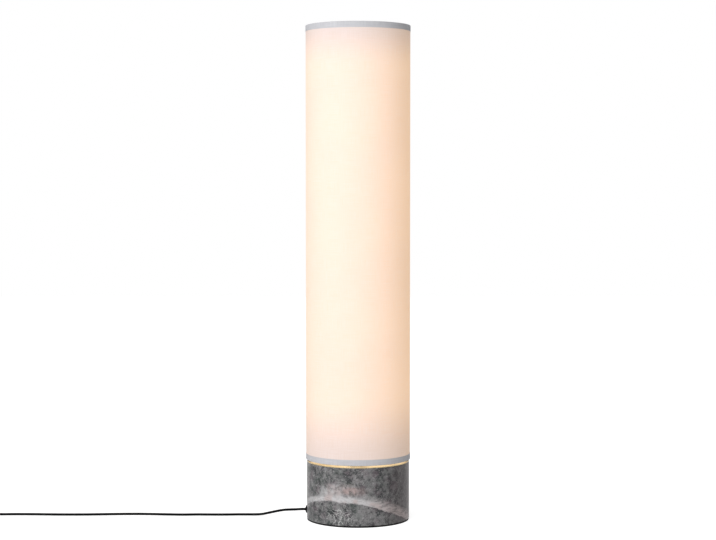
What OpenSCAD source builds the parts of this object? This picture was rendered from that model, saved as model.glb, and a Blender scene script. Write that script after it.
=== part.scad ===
// Column floor lamp: a tall fabric shade over a round stone base, lit from a column inside.
// The lamp stands on z = 0, its axis is Z, and the supply cord leaves towards -X.

/* [Overall] */
// Height from the floor to the shade's top rim
lamp_h = 1200; // [900:10:1500]
// Diameter of the stone base
base_d = 250; // [200:1:320]
// Diameter of the shade over its hems
shade_d = 254.4; // [210:0.1:330]

/* [Base] */
// Height of the stone cylinder
marble_h = 138.5; // [90:0.5:180]
// Edge round of the stone
marble_edge = 1.2; // [0.5:0.1:3]
// Thickness of the soft foot pad
pad_t = 1.5; // [1:0.1:4]
// Thickness of the steel plate that closes the pocket
base_plate_t = 2.5; // [2:0.1:5]
// How far the foot pad stands back from the stone's side
foot_inset = 0.6; // [0.2:0.1:8]
// Diameter of the pocket under the stone
pocket_d = 116; // [100:1:160]
// Depth of the pocket in the stone
pocket_h = 48; // [44:1:70]
// Radius on which the plate's screws sit
base_screw_r = 88; // [80:1:96]
// Thickness of the brass plate on the stone
brass_t = 2; // [1.5:0.1:6]

/* [Cable gland] */
// Height of the cord's exit above the floor
exit_z = 22.5; // [18:0.5:40]
// Diameter of the gland's flange
gland_d = 18; // [15:0.5:26]
// Thickness of the gland's flange
gland_t = 3; // [1.5:0.1:4]
// Diameter of the gland's sleeve in the stone
gland_sleeve_d = 11; // [9:0.1:14]
// Length of the gland's sleeve
gland_sleeve_l = 22; // [12:1:30]
// Length of the gland's nose outside its flange
gland_nose_l = 1.4; // [1:0.1:6]
// Depth of the flat that the flange seats on
gland_flat = 0.4; // [0.4:0.1:1]

/* [Column] */
// Diameter of the threaded stem
stem_d = 12; // [10:0.5:16]
// Bore of the stem, which the wires run up
stem_bore_d = 8; // [5:0.5:9]
// Width across the flats of the extruded column
column_w = 34; // [30:1:42]
// Corner radius of the extruded column
column_corner = 4; // [2:0.5:8]
// Wall of the extruded column behind its channels
column_wall = 1.8; // [1.2:0.1:3]
// Width of a light strip
strip_w = 10; // [8:0.5:12]
// Thickness of a light strip's board
strip_t = 1.2; // [0.8:0.1:2]
// Spacing of the light sources along a strip
chip_pitch = 40; // [20:1:80]
// Wall of the foot's socket round the column's corners
socket_wall = 3.1; // [2:0.1:8]

/* [Shade] */
// Gap between the brass plate and the shade
shade_gap = 3.5; // [3:0.5:15]
// Height of the hems on the outside of the shade
hem_h = 14.5; // [10:0.5:30]
// Height of the hems' inner leg
hem_inner_h = 12; // [9:0.5:20]
// Thickness of the hem's folded cloth
hem_t = 0.5; // [0.4:0.1:1]
// Thickness of the shade's cloth
cloth_t = 0.6; // [0.4:0.1:1.5]
// Thickness of the stiff liner behind the cloth
liner_t = 1.2; // [0.8:0.1:2]
// Wire of the shade's frames
frame_wire_d = 4.5; // [3:0.5:6]
// Drop from the rim to the top of the frame's hub
hub_drop = 33; // [28:1:60]
// Thickness of the frame's hub
hub_t = 4; // [3:0.5:8]
// Diameter of the top frame's hub
hub_d = 32; // [26:1:44]

/* [Cord] */
// Diameter of the supply cord
cord_d = 6; // [4:0.5:6.5]
// Inner radius of the put-away coil, to the cord's middle
coil_r = 24.5; // [18:0.5:30]
// Space between the coil's turns and between its layers
coil_space = 0.56; // [0.5:0.02:2]
// Diameter of the foot switch
switch_d = 66; // [60:1:80]
// Height of the foot switch's housing
switch_h = 23; // [21:0.5:28]
// Travel of the foot switch's button
press = 2.5; // [1:0.5:3]
// Diameter of the foot switch's button
button_d = 34; // [28:1:36]

/* [Hidden] */
$fn = 96;

// Clearances
fit_c = 0.15;      // a bolted or glued piece in its hole, on the radius
slide_c = 0.3;     // pieces that part when the shade is lifted, on the radius
loose_c = 0.1;     // faces of the shade's layers

// Heights of the stack
plate_z = pad_t;
marble_z = pad_t + base_plate_t;
pocket_top = marble_z + pocket_h;
brass_z = marble_z + marble_h;
brass_top = brass_z + brass_t;
shade_z = brass_top + shade_gap;
shade_h = lamp_h - shade_z;
marble_r = base_d / 2;
stem_hole_d = stem_d + 2 * fit_c;
stem_free_d = stem_d + 2 * slide_c;

// Countersunk screws of the base plate
base_screw_d = 5;
base_screw_l = 16;
screw_head_d = 9;
screw_head_h = 2;

// Nut and washer that pull the stem down
washer_d = stem_d + 32;
washer_t = 2;
nut_af = stem_d + 7;
nut_h = 8;
stem_below_nut = 4;
stem_z = pocket_top - washer_t - nut_h - stem_below_nut;

// Column foot, column and cap
column_reach = (column_w / 2 - column_corner) * sqrt(2) + column_corner;
collar_d = 2 * (column_reach + socket_wall);
foot_flange_d = collar_d + 17;
turned_round = 1;
foot_flange_t = 3;
collar_h = 24;
socket_depth = 4;
column_z = brass_top + foot_flange_t + collar_h - socket_depth;
cap_flange_d = 2 * column_reach + 5;
cap_flange_t = 3;
cap_boss_d = stem_d + 12;
cap_boss_h = 10;
hub_z = lamp_h - hub_drop - hub_t;
column_top = hub_z - cap_boss_h - cap_flange_t;
column_l = column_top - column_z;
finial_d = stem_d + 10;
finial_h = 20;
finial_crown = 6;
finial_flutes = 24;
flute_d = 2;
knurl_h = 11;
crown_round = 5;
stem_top = hub_z + hub_t + finial_h - finial_crown;

// Channel for a light strip: a slot with two lips
channel_w = strip_w + 0.6;
channel_depth = strip_t + 0.4;
lip_t = 0.8;
lip_w = 1.2;
groove_w = 1;
groove_gap = 2.2;
boss_d = stem_hole_d + 4;
web_t = 2;
strip_end = 8;
chip_l = 5;
chip_w = 5;
chip_t = 0.8;

// Radii through the shade's wall, from outside in
hem_r = shade_d / 2;
cloth_r = hem_r - hem_t;
liner_r = cloth_r - cloth_t;
liner_in = liner_r - liner_t;
ring_r = liner_in - loose_c - frame_wire_d / 2;
hem_in = ring_r - frame_wire_d / 2 - loose_c;
ring_lift = hem_t + loose_c + frame_wire_d / 2;
low_ring_z = shade_z + ring_lift;
top_ring_z = lamp_h - ring_lift;
frame_arms = [90, 210, 330];
low_hub_in = collar_d / 2 + 0.5;
low_hub_w = 5;
low_hub_t = 3;
arm_d = frame_wire_d - 0.5;
hub_mid = hub_z + hub_t / 2;
arm_start = hub_d / 2 - 3;

// Gland in the stone's side
gland_seat = marble_r - gland_flat;
gland_out_t = gland_t + gland_nose_l;
gland_round = 0.6;
cord_hole_d = cord_d + 0.6;
cord_way_d = cord_d + 4;
nose_tip = cord_hole_d / 2 + 0.8;
nose_root = nose_tip + 1.4;

// Parts in the pocket
driver_size = [72, 32, 22];
driver_at = [2, 22, marble_z];
driver_ear = [6, 16, 2];
ear_hole_d = 3.4;
block_size = [32, 14, 13];
block_at = [2, -22, marble_z];
well_d = 4.5;
well_h = 4;
clamp_size = [8, 14, 5];
clamp_slit = 0.8;
clamp_x = -50;
inner_route = [
    [-129, 0, 22.5], [-120, 0, 22.5], [-100, 0, 22.5], [-75, 0, 22.5], [-58, 0, 22.5],
    [-46, 0, 22.2], [-38, -5, 20], [-31, -14, 16], [-25, -20, 12.5], [-19, -22, 11], [-14, -22, 11]
];
wire_d = 1.8;
wire_apart = 3.2;
wire_sides = 6;

// Free cord, from the gland to the foot switch, on to the coil, and from the coil to the plug
lead_route = [
    [-129, 0, 22.5], [-136, 0, 22.5], [-152, 3, 21.2], [-167, 7, 20], [-182, 10, 18.5],
    [-201, 15, 14.5], [-220, 21, 9.5], [-236, 27, 5.4], [-252, 32, 3.4], [-270, 34, 3],
    [-295, 34, 3], [-325, 32, 3], [-360, 32, 3], [-395, 33, 3], [-434, 31, 3],
    [-474, 34, 3], [-510, 38, 3], [-550, 40, 3], [-600, 38, 3], [-650, 34, 3],
    [-700, 32, 3], [-750, 33, 3], [-800, 36, 3], [-850, 37, 3], [-885, 36, 3],
    [-900, 35, 3.9], [-914, 35, 6.1], [-926, 35, 7.4], [-935, 35, 7.5], [-950, 35, 7.5],
    [-973, 35, 7.5]
];
switch_at = [-985, 35];
mid_route = [
    [-997, 35, 7.5], [-1020, 35, 7.5], [-1036, 35, 7.5], [-1044, 35, 7], [-1053, 35, 5.6],
    [-1062, 35, 4.2], [-1069, 35, 3.9], [-1074, 35, 3.9]
];
coil_pitch = cord_d + coil_space;
coil_at = [-1080, -10];
coil_turns = 6.25;
coil_rings = 24;
coil_sides = 6;
tie_t = 0.8;
tie_w = 8;
tie_slack = 0.6;
tie_bend = cord_d / 2 - 0.3;
coil_z = tie_t + loose_c + cord_d / 2;
coil_out = coil_r + coil_pitch * coil_turns / 2;
tail_route = [
    [-1125, -16, 10.46], [-1125, -22, 10.46], [-1125, -34, 9.6], [-1125, -46, 8.1],
    [-1125, -57, 6.9], [-1125, -63, 6.9]
];
plug_at = [-1125, -63, 6.9];
cord_sides = 10;

// Foot switch
switch_r = switch_d / 2;
switch_floor = 2.4;
switch_wall = 2;
switch_round = 7;
lip_h = 2;
// Rubber bush: neck in the wall, inner flange that holds it, tapered outer part
grommet_neck_d = cord_d + 2.4;
grommet_flange_r = grommet_neck_d / 2 + 0.7;
grommet_l = 20;
grommet_flange_t = 1.4;
cord_in_z = switch_floor + grommet_flange_r + 0.2;
// Where the bush's inner flange meets the housing's round wall
grommet_seat = sqrt(pow(switch_r - switch_wall, 2) - pow(grommet_flange_r, 2)) - 0.05;
// Button: its flange stays 1 mm above the cord when it is pressed
button_r = button_d / 2;
button_gap = 0.3;
button_proud = 4;
flange_t = 1.6;
flange_gap = 0.2;
collar_t = 1.6;
collar_low = cord_in_z + cord_d / 2 + 1 + press + flange_t + flange_gap;
flange_r = button_r + button_gap + collar_t - flange_gap;
dish_r = 60.6;
dish_depth = 0.6;
post_d = 5;
post_l = 3.2;
// Screws from below, in posts of the base that meet bosses of the cover
switch_screw_r = 25;
switch_screw_d = 2.2;
switch_head_d = 4.8;
switch_head_h = 1.4;
switch_post_d = 6;
screw_split = switch_h - 7;
// Terminal block and spring
block_w = 24;
block_h = 5.4;
block_top = switch_floor + block_h;
spring_r = 5;
spring_wire = 1;
spring_turns = 5;
spring_rings = 10;

// Plug
plug_t = 13.8;
plug_l = 35;
plug_w = 26.4;
plug_nose_w = 13;
plug_edge = 1;
shoulder_l = 12;
relief_l = 22;
relief_end_d = cord_d + 3.8;
relief_grooves = 7;
groove_pitch = 2.6;
pin_d = 4;
pin_l = 19;
pin_gap = 18.6;
pin_root = 8;

// ---- shared shapes ----

module ring(outer_r, inner_r, h) {
    difference() {
        cylinder(r = outer_r, h = h);
        translate([0, 0, -1]) cylinder(r = inner_r, h = h + 2);
    }
}

// Half section of a turned piece whose top outer corner is rounded
module turned_section(r, h, round) {
    square([r - round, h]);
    square([r, h - round]);
    translate([r - round, h - round]) intersection() {
        circle(round, $fn = 48);
        square(round);
    }
}

module rod(a, b, d) {
    v = b - a;
    translate(a)
        rotate([0, acos(v.z / norm(v)), atan2(v.y, v.x)])
            cylinder(d = d, h = norm(v), $fn = 32);
}

// Catmull-Rom point between p[i] and p[i + 1]; the ends run straight on
function knot(p, i) = i < 0 ? 2 * p[0] - p[1]
    : i >= len(p) ? 2 * p[len(p) - 1] - p[len(p) - 2] : p[i];
function between(a, b, c, d, t) =
    0.5 * (2 * b + (c - a) * t + (2 * a - 5 * b + 4 * c - d) * t * t
        + (3 * b - a - 3 * c + d) * t * t * t);
function smooth(p, steps) = [
    for (i = [0 : len(p) - 2]) for (s = [0 : steps[i] - 1])
        between(knot(p, i - 1), p[i], p[i + 1], knot(p, i + 2), s / steps[i]),
    p[len(p) - 1]
];
// Rings are set about 2.6 diameters apart
function steps_of(p, d) = [
    for (i = [0 : len(p) - 2]) max(1, round(norm(p[i + 1] - p[i]) / (2.6 * d)))
];

function unit(v) = v / norm(v);
function heading(p, i) = unit(p[min(i + 1, len(p) - 1)] - p[max(i - 1, 0)]);
function ring_at(c, t, r, sides) =
    let (side = unit(cross(t, [0, 0, 1])), up = cross(side, t))
    [for (k = [0 : sides - 1]) let (a = 360 * (k + 0.5) / sides - 90)
        c + r * cos(a) * side + r * sin(a) * up];

// Tube of a round cord along a list of points
module tube(p, d, sides) {
    last = len(p) - 1;
    points = [for (i = [0 : last]) each ring_at(p[i], heading(p, i), d / 2, sides)];
    faces = [
        [for (k = [0 : sides - 1]) k],
        for (i = [0 : last - 1]) for (k = [0 : sides - 1])
            let (a = i * sides + k, b = i * sides + (k + 1) % sides)
            each [[a, a + sides, b], [b, a + sides, b + sides]],
        [for (k = [sides - 1 : -1 : 0]) last * sides + k]
    ];
    polyhedron(points, faces);
}

// ---- base ----

module foot_pad() {
    color("#161616") cylinder(r = marble_r - foot_inset, h = pad_t);
}

module at_base_screws() {
    for (a = [45 : 90 : 315]) rotate(a) translate([base_screw_r, 0, 0]) children();
}

module base_screw(c = 0) {
    cylinder(d1 = screw_head_d + 2 * c, d2 = base_screw_d + 2 * c, h = screw_head_h, $fn = 32);
    cylinder(d = base_screw_d + 2 * c, h = base_screw_l + c, $fn = 32);
}

module base_plate() {
    color("#1c1c1c") translate([0, 0, plate_z]) difference() {
        cylinder(r = marble_r - foot_inset, h = base_plate_t);
        at_base_screws() {
            base_screw(fit_c);
            translate([0, 0, -1]) cylinder(d = screw_head_d + 2 * fit_c, h = 1.01, $fn = 32);
        }
    }
}

module base_screws() {
    color("#8c8f92") translate([0, 0, plate_z]) at_base_screws() base_screw();
}

module marble_base() {
    color("#6f6d6e") difference() {
        translate([0, 0, marble_z]) rotate_extrude() {
            difference() {
                turned_section(marble_r, marble_h, marble_edge);
                square([pocket_d / 2, pocket_h]);
                square([stem_hole_d / 2, marble_h]);
            }
        }
        translate([0, 0, plate_z]) at_base_screws() base_screw(fit_c);
        translate([-marble_r - 1, 0, exit_z]) rotate([0, 90, 0]) {
            cylinder(d = gland_d + 1, h = gland_flat + 1, $fn = 48);
            cylinder(d = gland_sleeve_d + 2 * fit_c, h = gland_flat + 1 + gland_sleeve_l, $fn = 48);
            cylinder(d = cord_way_d, h = marble_r, $fn = 32);
        }
    }
}

module brass_plate() {
    color("#d9b36c") translate([0, 0, brass_z])
        ring(marble_r - marble_edge / 2, stem_hole_d / 2, brass_t);
}

// ---- cord's way in ----

module cable_gland() {
    color("#141414") translate([-gland_seat, 0, exit_z]) rotate([0, -90, 0]) rotate_extrude($fn = 64)
        difference() {
            union() {
                turned_section(gland_d / 2, gland_t, gland_round);
                translate([0, -gland_sleeve_l]) square([gland_sleeve_d / 2, gland_sleeve_l]);
                polygon([[0, gland_t], [nose_root, gland_t], [nose_tip + 0.6, gland_out_t - 0.6],
                    [nose_tip, gland_out_t], [0, gland_out_t]]);
            }
            translate([0, -gland_sleeve_l - 1])
                square([cord_hole_d / 2, gland_sleeve_l + gland_out_t + 2]);
        }
}

module cord_clamp() {
    slit_z = exit_z + cord_d / 2 - loose_c;
    color("#2a2a2a") translate([clamp_x, 0, 0]) difference() {
        translate([-clamp_size.x / 2, -clamp_size.y / 2, marble_z])
            cube([clamp_size.x, clamp_size.y, exit_z + clamp_size.z - marble_z]);
        translate([-clamp_size.x, 0, exit_z]) rotate([0, 90, 0])
            cylinder(d = cord_hole_d, h = 2 * clamp_size.x, $fn = 32);
        translate([-clamp_size.x, -clamp_size.y / 2 - 1, slit_z])
            cube([2 * clamp_size.x, clamp_size.y / 2 + 1, clamp_slit]);
    }
}

module terminal_block() {
    color("#e9e9e4") translate(block_at) difference() {
        translate([-block_size.x / 2, -block_size.y / 2, 0]) cube(block_size);
        for (i = [-1 : 1]) translate([i * block_size.x / 3.4, 0, block_size.z - well_h])
            cylinder(d = well_d, h = well_h + 1, $fn = 24);
    }
}

module led_driver() {
    color("#f1f1ee") translate(driver_at)
        translate([-driver_size.x / 2, -driver_size.y / 2, 0]) {
            cube(driver_size);
            for (x = [-driver_ear.x, driver_size.x])
                translate([x, (driver_size.y - driver_ear.y) / 2, 0]) difference() {
                    cube(driver_ear);
                    translate([driver_ear.x / 2, driver_ear.y / 2, -1])
                        cylinder(d = ear_hole_d, h = driver_ear.z + 2, $fn = 24);
                }
        }
}

module inner_lead() {
    color("#111111") tube(smooth(inner_route, steps_of(inner_route, cord_d)), cord_d, cord_sides);
}

// Two wires from the driver into the stem's foot
module driver_wires() {
    top = marble_z + driver_size.z;
    color("#b3261e") for (x = [-wire_apart / 2, wire_apart / 2]) tube([
        [x - 10, 24, top], [x - 10, 23, top + 4], [x - 8, 16, stem_z - 7], [x - 4, 6, stem_z - 6.5],
        [x - 0.5, 1, stem_z - 3], [x, 0.2, stem_z + 2], [x, 0, stem_z + 12]], wire_d, wire_sides);
}

// ---- column ----

module stem() {
    color("#b9bcc0") translate([0, 0, stem_z])
        ring(stem_d / 2, stem_bore_d / 2, stem_top - stem_z, $fn = 48);
}

module stem_nut() {
    color("#a7aaad") translate([0, 0, pocket_top - washer_t - nut_h]) difference() {
        cylinder(d = nut_af / cos(30), h = nut_h, $fn = 6);
        translate([0, 0, -1]) cylinder(d = stem_hole_d, h = nut_h + 2, $fn = 48);
    }
}

module stem_washer() {
    color("#a7aaad") translate([0, 0, pocket_top - washer_t])
        ring(washer_d / 2, stem_hole_d / 2, washer_t);
}

module column_outline(grow = 0) {
    w = column_w + 2 * grow;
    square([w, w - 2 * column_corner], center = true);
    square([w - 2 * column_corner, w], center = true);
    for (x = [-1, 1]) for (y = [-1, 1])
        translate([x, y] * (w / 2 - column_corner)) circle(column_corner, $fn = 32);
}

module column_foot() {
    color("#c9c9c6") translate([0, 0, brass_top]) difference() {
        union() {
            rotate_extrude() turned_section(foot_flange_d / 2, foot_flange_t, turned_round);
            rotate_extrude() turned_section(collar_d / 2, foot_flange_t + collar_h, turned_round);
        }
        translate([0, 0, -1]) cylinder(d = stem_hole_d, h = collar_h + 10, $fn = 48);
        translate([0, 0, foot_flange_t + collar_h - socket_depth])
            linear_extrude(socket_depth + 1) column_outline(fit_c);
    }
}

// Section of the extrusion: four walls with lipped channels, webs and a bored middle
module column_section() {
    pocket = column_w / 2 - channel_depth - lip_t - column_wall;
    difference() {
        column_outline();
        difference() {
            square(2 * pocket, center = true);
            circle(d = boss_d, $fn = 48);
            for (a = [45, 135]) rotate(a) square([column_w * 2, web_t], center = true);
        }
        circle(d = stem_hole_d, $fn = 48);
        for (a = [0 : 90 : 270]) rotate(a) translate([column_w / 2, 0]) {
            translate([-lip_t - channel_depth, -channel_w / 2]) square([channel_depth, channel_w]);
            translate([-lip_t - 0.01, -channel_w / 2 + lip_w]) square([lip_t + 1, channel_w - 2 * lip_w]);
            for (s = [-1, 1]) translate([-1, s * (channel_w / 2 + groove_gap) - groove_w / 2])
                square([2, groove_w]);
        }
    }
}

module light_column() {
    color("#d3d4d2") translate([0, 0, column_z]) linear_extrude(column_l) column_section();
}

module led_strip() {
    l = column_l - 2 * strip_end;
    chips = floor((l - chip_l) / chip_pitch);
    first = (l - chips * chip_pitch) / 2;
    translate([-strip_t, -strip_w / 2, 0]) cube([strip_t, strip_w, l]);
    for (i = [0 : chips]) translate([-0.01, -chip_w / 2, first + i * chip_pitch - chip_l / 2])
        cube([chip_t + 0.01, chip_w, chip_l]);
}

module led_strips() {
    color("#fff2c8") for (a = [0 : 90 : 270]) rotate(a)
        translate([column_w / 2 - lip_t - channel_depth + strip_t, 0, column_z + strip_end])
            led_strip();
}

module top_cap() {
    color("#c9c9c6") translate([0, 0, column_top]) difference() {
        union() {
            rotate_extrude() turned_section(cap_flange_d / 2, cap_flange_t, turned_round);
            rotate_extrude() turned_section(cap_boss_d / 2, cap_flange_t + cap_boss_h, turned_round);
        }
        translate([0, 0, -1]) cylinder(d = stem_hole_d, h = cap_flange_t + cap_boss_h + 2, $fn = 48);
    }
}

// ---- shade ----

module shade_fabric() {
    color("#fbeedd") translate([0, 0, shade_z + hem_t + loose_c])
        ring(cloth_r, liner_r, shade_h - 2 * hem_t - 2 * loose_c, $fn = 128);
}

module shade_liner() {
    color("#fffaf0") translate([0, 0, shade_z + hem_t + loose_c])
        ring(liner_r, liner_in, shade_h - 2 * hem_t - 2 * loose_c, $fn = 128);
}

// Section of a hem: cloth folded round the edge of the wall and round the frame's ring
module hem_section() {
    translate([cloth_r, 0]) square([hem_t, hem_h]);
    translate([hem_in - hem_t, 0]) square([hem_r - hem_in + hem_t, hem_t]);
    translate([hem_in - hem_t, 0]) square([hem_t, hem_inner_h]);
}

// Way out through the hem's inner leg for the frame's arms
module arm_slots(from, to) {
    for (a = frame_arms) rotate(a) rod([hem_in - 8, 0, from], [hem_in + 3, 0, to], frame_wire_d + 1.2);
}

module hem_bottom() {
    color("#c9cad2") difference() {
        translate([0, 0, shade_z]) rotate_extrude($fn = 128) hem_section();
        arm_slots(low_ring_z, low_ring_z);
    }
}

module hem_top() {
    color("#c9cad2") difference() {
        translate([0, 0, lamp_h]) mirror([0, 0, 1]) rotate_extrude($fn = 128) hem_section();
        arm_slots(arm_z(hem_in - 8), arm_z(hem_in + 3));
    }
}

// Height of a top arm's middle at a distance from the axis
function arm_z(r) = hub_mid + (top_ring_z - hub_mid) * (r - arm_start) / (ring_r - arm_start);

module frame_ring(z) {
    translate([0, 0, z]) rotate_extrude($fn = 96)
        translate([ring_r, 0]) circle(d = frame_wire_d, $fn = 24);
}

module shade_frame_top() {
    color("#dcdcda") difference() {
        union() {
            frame_ring(top_ring_z);
            translate([0, 0, hub_z]) rotate_extrude($fn = 64) turned_section(hub_d / 2, hub_t, 0.8);
            for (a = frame_arms) rotate(a)
                rod([arm_start, 0, hub_mid], [ring_r, 0, top_ring_z], arm_d);
        }
        translate([0, 0, hub_z - 6]) cylinder(d = stem_free_d, h = hub_t + 12, $fn = 48);
    }
}

module shade_frame_bottom() {
    color("#dcdcda") {
        frame_ring(low_ring_z);
        translate([0, 0, low_ring_z - low_hub_t / 2])
            ring(low_hub_in + low_hub_w, low_hub_in, low_hub_t);
        for (a = frame_arms) rotate(a)
            rod([low_hub_in + low_hub_w / 2, 0, low_ring_z], [ring_r, 0, low_ring_z], arm_d);
    }
}

// Brass nut: knurled rim, rounded crown, blind hole for the stem
module finial() {
    color("#c9a24f") translate([0, 0, hub_z + hub_t]) difference() {
        rotate_extrude($fn = 64) {
            turned_section(finial_d / 2, knurl_h, turned_round);
            turned_section(finial_d / 2 - 3, finial_h, crown_round);
        }
        translate([0, 0, -1]) cylinder(d = stem_free_d, h = stem_top - hub_z - hub_t + 2, $fn = 48);
        for (i = [0 : finial_flutes - 1]) rotate(i * 360 / finial_flutes)
            translate([finial_d / 2 + 0.5, 0, 1.5]) cylinder(d = flute_d, h = knurl_h, $fn = 16);
    }
}

// ---- cord ----

module cord_lead() {
    color("#111111") tube(smooth(lead_route, steps_of(lead_route, cord_d)), cord_d, cord_sides);
}

module cord_mid() {
    color("#111111") tube(smooth(mid_route, steps_of(mid_route, cord_d)), cord_d, cord_sides);
}

module cord_tail() {
    color("#111111") tube(smooth(tail_route, steps_of(tail_route, cord_d)), cord_d, cord_sides);
}

// Coil: inwards on the floor, up a layer in the half turn where the spiral reverses, out on top
function climb(turn) = max(0, min(1, 2 * (turn - coil_turns / 2) + 0.5));
function coil_point(turn) =
    let (r = coil_r + coil_pitch * abs(turn - coil_turns / 2), a = 90 + 360 * turn)
    [coil_at.x + r * cos(a), coil_at.y + r * sin(a), coil_z + coil_pitch * climb(turn)];
coil_wound = [for (i = [0 : coil_turns * coil_rings]) coil_point(i / coil_rings)];
coil_end = coil_wound[len(coil_wound) - 1];
coil_path = [
    coil_wound[0] + [cord_d, 0, 0],
    each coil_wound,
    coil_end - [0, cord_d, 0]
];

// Least gap between turns, taken at the rings and halfway between them
coil_halves = [for (i = [0 : len(coil_wound) - 2]) (coil_wound[i] + coil_wound[i + 1]) / 2];
function least(p, q) = min([
    for (i = [0 : len(p) - 1]) for (j = [i + coil_rings / 2 : 1 : len(q) - 1]) norm(p[i] - q[j])
]);
coil_gap = min(least(coil_wound, coil_wound), least(coil_halves, coil_halves)) - cord_d;
echo(least_coil_gap = coil_gap);

module cord_coil() {
    color("#111111") tube(coil_path, cord_d, coil_sides);
}

// Strap round all the turns at one place, with its corners bent round the outer cords
module coil_tie() {
    low = coil_r - cord_d / 2 - tie_slack;
    high = coil_out + cord_d / 2 + tie_slack;
    tall = coil_pitch + cord_d + 2 * loose_c;
    color("#202020") translate([coil_at.x, coil_at.y, tie_t]) rotate([90, 0, 315])
        linear_extrude(tie_w, center = true) difference() {
            loop_outline(low, high, tall, tie_t);
            loop_outline(low, high, tall, 0);
        }
}

// Rectangle from low to high with round corners, grown on all sides
module loop_outline(low, high, tall, grow) {
    hull() for (x = [low + tie_bend, high - tie_bend]) for (y = [tie_bend, tall - tie_bend])
        translate([x, y]) circle(tie_bend + grow, $fn = 32);
}

// ---- foot switch ----

module at_switch(z = 0) {
    translate([switch_at.x, switch_at.y, z]) children();
}

module at_switch_screws() {
    for (a = [90, 210, 330]) rotate(a) translate([switch_screw_r, 0, 0]) children();
}

module switch_base() {
    color("#181818") at_switch() difference() {
        union() {
            rotate_extrude() turned_section(switch_r, switch_floor, 0.6);
            difference() {
                translate([0, 0, switch_floor])
                    ring(switch_r - switch_wall - fit_c, switch_r - 2 * switch_wall, lip_h);
                translate([-switch_r, -grommet_flange_r - 1.4, switch_floor])
                    cube([switch_d, 2 * grommet_flange_r + 2.8, lip_h + 1]);
            }
            at_switch_screws() cylinder(d = switch_post_d, h = screw_split, $fn = 32);
        }
        at_switch_screws() translate([0, 0, -1]) {
            cylinder(d = switch_screw_d + 0.6, h = screw_split + 2, $fn = 24);
            cylinder(d = switch_head_d + 0.4, h = switch_head_h + 1.2, $fn = 32);
        }
    }
}

module switch_cover() {
    color("#1b1b1b") at_switch() difference() {
        union() {
            translate([0, 0, switch_floor]) rotate_extrude() difference() {
                union() {
                    difference() {
                        turned_section(switch_r, switch_h - switch_floor, switch_round);
                        turned_section(switch_r - switch_wall, switch_h - switch_floor - switch_wall,
                            switch_round - switch_wall);
                    }
                    translate([0, collar_low - switch_floor])
                        square([button_r + button_gap + collar_t, switch_h - collar_low]);
                }
                square([button_r + button_gap, switch_h]);
            }
            at_switch_screws() translate([0, 0, screw_split])
                cylinder(d = switch_post_d, h = switch_h - switch_wall - screw_split + 0.5, $fn = 32);
        }
        at_switch_screws() translate([0, 0, screw_split - 1])
            cylinder(d = switch_screw_d + 0.2, h = 4.5, $fn = 24);
        for (s = [0, 180]) rotate(s) translate([switch_r - 3 * switch_wall, 0, cord_in_z]) {
            rotate([0, 90, 0]) cylinder(d = grommet_neck_d + 0.2, h = 12, $fn = 32);
            translate([0, -grommet_neck_d / 2 - 0.1, -cord_in_z])
                cube([12, grommet_neck_d + 0.2, cord_in_z]);
        }
    }
}

// Button with a retaining flange under the collar and a post that centres its spring
module switch_button() {
    low = collar_low - flange_t - flange_gap;
    top = switch_h + button_proud;
    color("#2b2b2b") at_switch() difference() {
        union() {
            translate([0, 0, low]) rotate_extrude() turned_section(button_r, top - low, 2);
            translate([0, 0, low]) cylinder(r = flange_r, h = flange_t);
        }
        translate([0, 0, low - 1]) cylinder(r = button_r - 2, h = top - low - 1.5);
        translate([0, 0, top + dish_r - dish_depth]) sphere(r = dish_r, $fn = 128);
    }
    color("#2b2b2b") at_switch(top - 5) cylinder(d = post_d, h = post_l, $fn = 32);
}

module switch_spring() {
    high = switch_h + button_proud - 2.6;
    rings = spring_turns * spring_rings;
    rise = high - block_top - spring_wire;
    color("#c8c8c8") at_switch(block_top + spring_wire / 2) tube([
        for (i = [0 : rings]) let (a = 360 * i / spring_rings)
            [spring_r * cos(a), spring_r * sin(a), rise * i / rings]
    ], spring_wire, 5);
}

module switch_block() {
    color("#e6e4dc") at_switch(switch_floor) difference() {
        translate([-block_w / 2, -block_w / 3, 0]) cube([block_w, block_w * 2 / 3, block_h]);
        for (x = [-9, 9]) for (y = [-4.5, 4.5]) translate([x, y, block_h - 2])
            cylinder(d = 3.2, h = 3, $fn = 24);
    }
}

// Rubber bush in each side of the housing
module switch_grommets() {
    color("#101010") for (s = [0, 180]) at_switch(cord_in_z) rotate(s)
        translate([grommet_seat, 0, 0]) rotate([0, 90, 0])
            rotate_extrude($fn = 48) difference() {
                union() {
                    translate([0, -grommet_flange_t]) square([grommet_flange_r, grommet_flange_t]);
                    square([grommet_neck_d / 2, switch_wall + 1]);
                    translate([0, switch_wall + 0.4]) polygon([
                        [0, 0], [grommet_neck_d / 2 + 1.1, 0], [grommet_neck_d / 2 + 1.1, 1.4],
                        [grommet_neck_d / 2 - 0.3, grommet_l], [0, grommet_l]]);
                }
                translate([0, -3]) square([cord_hole_d / 2, switch_wall + grommet_l + 6]);
            }
}

module switch_screws() {
    color("#9a9a9a") at_switch() at_switch_screws() {
        translate([0, 0, 0.2]) {
            cylinder(d = switch_head_d, h = switch_head_h, $fn = 32);
            cylinder(d = switch_screw_d, h = screw_split + 2.3, $fn = 24);
        }
    }
}

// ---- plug ----

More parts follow.
